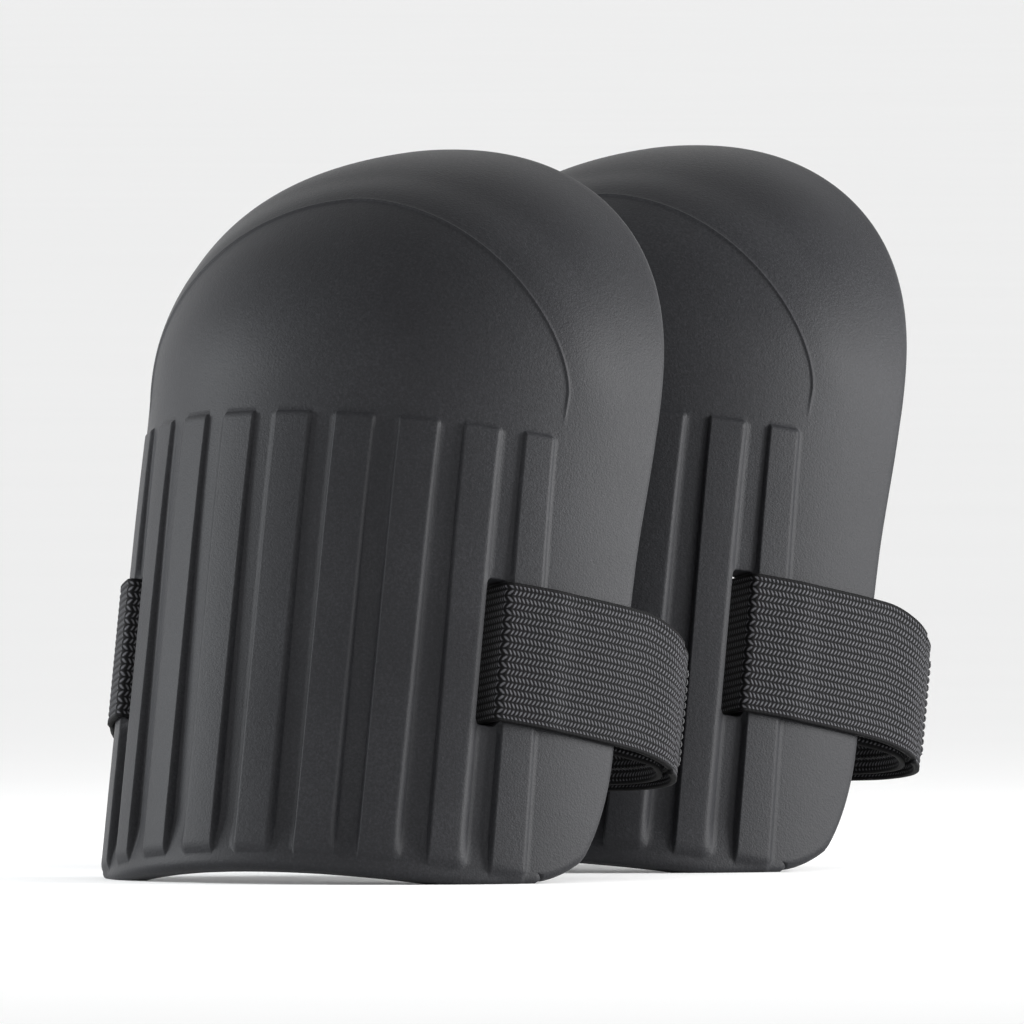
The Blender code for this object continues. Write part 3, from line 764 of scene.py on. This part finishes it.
def thread_look():
    """Twisted polyester thread."""
    n = Nodes("thread_look", 0.6, 0.4)
    where = n.new("ShaderNodeTexCoord").outputs["Object"]
    twist = n.noise(where, 3200.0, 2.0)
    colour = n.ramp(twist, [(0.3, (0.010, 0.010, 0.011)), (0.7, (0.045, 0.045, 0.048))])
    return n.finish(colour, n.bump(twist, 0.0002, 0.8))


def floor_look():
    """Plain pale floor."""
    n = Nodes("floor_look", 0.9, 0.2)
    where = n.new("ShaderNodeTexCoord").outputs["Object"]
    colour = n.ramp(n.noise(where, 3.0, 2.0), [(0.3, (0.94, 0.94, 0.94)), (0.7, (0.95, 0.95, 0.95))])
    return n.finish(colour, n.bump(n.noise(where, 900.0), 0.0001, 0.1))


# ---------------------------------------------------------------- pieces

def origin_of(prefix):
    """World place of a pad's own origin, worked out from its packed shell."""
    low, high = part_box(prefix + "_shell")
    return np.array([(low.x + high.x) / 2, low.y + FRONT_RISE, low.z + FLOOR_Y * math.sin(LEAN)])


def place(verts, origin):
    """Own frame to world."""
    c, s = math.cos(LEAN), math.sin(LEAN)
    x, y, z = verts[:, 0], verts[:, 1], verts[:, 2]
    return np.stack([x, c * y + s * z, c * z - s * y], 1) + origin


def droop(verts):
    """The elastic hangs a little behind the wings and leans in at its top edge."""
    x, y, z = verts[:, 0], verts[:, 1], verts[:, 2]
    behind = smooth((y - DROOP_START) / DROOP_LONG)
    z = z - behind * (DROOP + DROOP_LEAN * (z - WEB_MIDDLE))
    x = x + LEFT_IN * smooth((y - TURN_Y) / LEFT_LONG) * smooth(-x / LEFT_WIDE)
    return np.stack([x, y, z], 1)


def piece(name, verts, faces, look, slot, origin, coords=None):
    """One visible object, set in the world. coords are its vertices' places for the weave."""
    if slot != "foam":
        verts = droop(verts)
    mesh = bpy.data.meshes.new(name)
    mesh.from_pydata(place(verts, origin).tolist(), [], faces)
    mesh.update()
    if coords is not None:
        layer = mesh.uv_layers.new(name="UVMap")
        corners = np.empty(len(mesh.loops), np.int32)
        mesh.loops.foreach_get("vertex_index", corners)
        layer.data.foreach_set("uv", coords[corners].astype(np.float32).ravel())
    mesh.materials.append(look)
    mesh.shade_smooth()
    obj = bpy.data.objects.new(name, mesh)
    bpy.context.scene.collection.objects.link(obj)
    return obj


def make_foam(prefix, pad, shell, looks, origin):
    """The moulded shell."""
    foam = piece(prefix + "_foam", *shell, looks["foam"], "foam", origin)
    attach(foam, pad)
    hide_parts(prefix + "_shell")


def make_webbing(prefix, path, looks, origin):
    """The webbing from its sewn end, through both slots, to where the free end starts."""
    verts, faces, coords = ribbon(path, WEB_LOW, WEB_HIGH, WEB_THICK, ACROSS_WEB, weave)
    web = piece(prefix + "_webbing", verts, faces, looks["webbing"], "webbing", origin, coords)
    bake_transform(web)
    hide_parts(*(prefix + "_strap_" + n for n in ("loop_right", "loop_left", "band", "fold")))


def make_free_end(prefix, looks, origin):
    """The end of the webbing that closes on the band."""
    path = even(ROUTE[NECK_END:NECK_END + TAB_COUNT], 60)
    low, high = WEB_LOW - TAB_DROP, WEB_HIGH - TAB_DROP
    verts, faces, coords = ribbon(path, low, high, WEB_THICK, ACROSS_WEB, weave)
    flap = piece(prefix + "_free_end", verts, faces, looks["webbing"], "webbing", origin, coords)
    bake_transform(flap)
    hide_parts(prefix + "_strap_tab")


def make_tapes(prefix, strap, tab, line, looks, origin):
    """The hook tape on the free end and the loop tape under it, on line."""
    reach = WEB_THICK / 2 + GAP + PATCH_THICK / 2
    low, high = WEB_LOW + PATCH_IN, WEB_HIGH - PATCH_IN
    path = (ROUTE - ROUTE_SIDE * reach)[NECK_END + HOOK_FIRST:NECK_END + HOOK_LAST]
    verts, faces, coords = ribbon(even(path, 64), low, high, PATCH_THICK, ACROSS_TAPE, nap, 0.001)
    hook = piece(prefix + "_hook_tape", verts, faces, looks["hook"], "hook_tape", origin, coords)
    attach(hook, tab)
    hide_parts(prefix + "_hook_patch")

    path = (line + sides(line) * reach)[HOOK_FIRST - 2:HOOK_LAST + 14]
    verts, faces, coords = ribbon(even(path, 76), low, high, PATCH_THICK, ACROSS_TAPE, nap, 0.001)
    loop = piece(prefix + "_loop_tape", verts, faces, looks["loop"], "loop_tape", origin, coords)
    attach(loop, strap)
    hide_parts(prefix + "_loop_patch")


def make_seams(prefix, strap, tab, line, looks, origin):
    """The stitches round the two tapes, and the crossed box on the sewn end."""
    face = WEB_THICK / 2
    hook_path = ROUTE[NECK_END + HOOK_FIRST + 2:NECK_END + HOOK_LAST - 2]
    fold_path = mirror(ROUTE[NECK_END + FIRST + 6:NECK_END + FOLD_COUNT - 6])[::-1]
    seams = (("hook", hook_path, face, tab, "_hook_patch_seam", False),
             ("loop", line[HOOK_FIRST + 1:HOOK_LAST + 10], -face, strap, "_loop_patch_seam", False),
             ("fold", fold_path, face, strap, "_fold_seam", True))
    for word, path, offset, body, node, crossed in seams:
        verts, faces = stitches(even(path, 40), WEB_LOW + 0.0045, WEB_HIGH - 0.0050, offset, crossed)
        thread = piece(f"{prefix}_{word}_stitches", verts, faces, looks["thread"], "thread", origin)
        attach(thread, body)
        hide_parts(prefix + node)


def make_pad(prefix, side, shell, looks):
    """All pieces of one pad. side is front or rear, and names its bodies."""
    origin = origin_of(prefix)
    pad, strap, tab = side + "_pad", side + "_strap", side + "_tab"
    whole, band_right = strap_paths()
    line = band_right[:TAB_COUNT + 30]
    make_foam(prefix, pad, shell, looks, origin)
    make_webbing(prefix, whole, looks, origin)
    make_free_end(prefix, looks, origin)
    make_tapes(prefix, strap, tab, line, looks, origin)
    make_seams(prefix, strap, tab, line, looks, origin)


# ---------------------------------------------------------------- stage

VIEW_AZIMUTH, VIEW_ELEVATION = math.radians(27.0), math.radians(1.0)
VIEW_WIDE = 0.27680                     # width of the picture at the object
VIEW_FAR = 12.5
VIEW_RIGHT, VIEW_UP = 0.07111, 0.0962   # middle of the picture from the front pad's own origin
SENSOR = 36.0
LIGHT_AROUND, LIGHT_ABOVE = 1.80, 0.42  # the studio is brightest round the sides
SOFTBOX_TALL = 0.6
# Softboxes: place to the right, away and up from the middle, then width, power and colour
SOFTBOXES = {"left_softbox": ((-0.85, 0.10, 0.05), 0.45, 11.0, (0.95, 0.98, 1.0)),
             "right_softbox": ((0.90, 0.02, 0.12), 0.50, 20.0, (1.0, 1.0, 1.0))}
LIGHTS_AT = 0.10                        # height at which the softboxes aim
FLOOR_HALF, FLOOR_CELLS = 150.0, 8


def camera():
    """The camera. Returns its right, its line of sight and the point it looks at."""
    a, e = VIEW_AZIMUTH, VIEW_ELEVATION
    right = Vector((math.cos(a), math.sin(a), 0))
    away = Vector((-math.sin(a) * math.cos(e), math.cos(a) * math.cos(e), -math.sin(e)))
    up = right.cross(away)
    target = Vector(origin_of("front_pad")) + VIEW_RIGHT * right + VIEW_UP * up
    data = bpy.data.cameras.new("camera")
    data.sensor_width = SENSOR
    data.lens = SENSOR * VIEW_FAR / VIEW_WIDE
    data.clip_start, data.clip_end = 0.1, 400.0
    cam = bpy.data.objects.new("camera", data)
    bpy.context.scene.collection.objects.link(cam)
    cam.location = target - away * VIEW_FAR
    cam.rotation_euler = away.to_track_quat("-Z", "Y").to_euler()
    bpy.context.scene.camera = cam
    return right, away, target


def softbox(name, place_at, target, wide, power, colour):
    """A soft rectangular lamp that faces the target."""
    data = bpy.data.lights.new(name, "AREA")
    data.shape = "RECTANGLE"
    data.size, data.size_y = wide, SOFTBOX_TALL
    data.energy = power
    data.color = colour
    light = bpy.data.objects.new(name, data)
    bpy.context.scene.collection.objects.link(light)
    light.location = place_at
    light.rotation_euler = (target - place_at).to_track_quat("-Z", "Y").to_euler()


def studio_world():
    """Light from all round, weaker towards the top."""
    world = bpy.data.worlds.new("studio")
    world.use_nodes = True
    nodes, links = world.node_tree.nodes, world.node_tree.links
    parts = nodes.new("ShaderNodeSeparateXYZ")
    links.new(nodes.new("ShaderNodeTexCoord").outputs["Generated"], parts.inputs[0])
    strength = nodes.new("ShaderNodeMapRange")
    limits = {"From Min": 0.0, "From Max": 1.0, "To Min": LIGHT_AROUND, "To Max": LIGHT_ABOVE}
    for socket, value in limits.items():
        strength.inputs[socket].default_value = value
    links.new(parts.outputs["Z"], strength.inputs["Value"])
    nodes["Background"].inputs["Color"].default_value = (1, 1, 1, 1)
    links.new(strength.outputs[0], nodes["Background"].inputs["Strength"])
    bpy.context.scene.world = world


def make_floor():
    """A wide floor at z = 0, in square cells."""
    line = np.linspace(-FLOOR_HALF, FLOOR_HALF, FLOOR_CELLS + 1)
    verts = [(x, y, 0.0) for y in line for x in line]
    corners = np.arange(len(verts)).reshape(len(line), len(line))
    cells = np.stack([corners[:-1, :-1], corners[:-1, 1:], corners[1:, 1:], corners[1:, :-1]], -1)
    mesh = bpy.data.meshes.new("floor")
    mesh.from_pydata(verts, [], cells.reshape(-1, 4).tolist())
    mesh.materials.append(floor_look())
    floor = bpy.data.objects.new("floor", mesh)
    bpy.context.scene.collection.objects.link(floor)


def stage():
    """Camera, lamps, surroundings and floor."""
    right, away, target = camera()
    flat = Vector((away.x, away.y, 0)).normalized()
    up = Vector((0, 0, 1))
    middle = Vector((target.x, target.y, LIGHTS_AT))
    for name, ((across, back, high), wide, power, colour) in SOFTBOXES.items():
        place_at = middle + right * across + flat * back + up * high
        softbox(name, place_at, middle, wide, power, colour)
    studio_world()
    bpy.context.scene.view_settings.view_transform = "Standard"
    make_floor()


stage()
LOOKS = {"foam": foam_look(), "webbing": webbing_look(), "thread": thread_look(),
         "hook": tape_look("hook_tape_look", 1500.0, (0.006, 0.006, 0.006), (0.030, 0.030, 0.032), 0.6),
         "loop": tape_look("loop_tape_look", 900.0, (0.008, 0.008, 0.009), (0.045, 0.045, 0.048), 0.95)}
SHELL = shell_mesh()
for PREFIX, SIDE in (("front_pad", "front"), ("rear_pad", "rear")):
    make_pad(PREFIX, SIDE, SHELL, LOOKS)
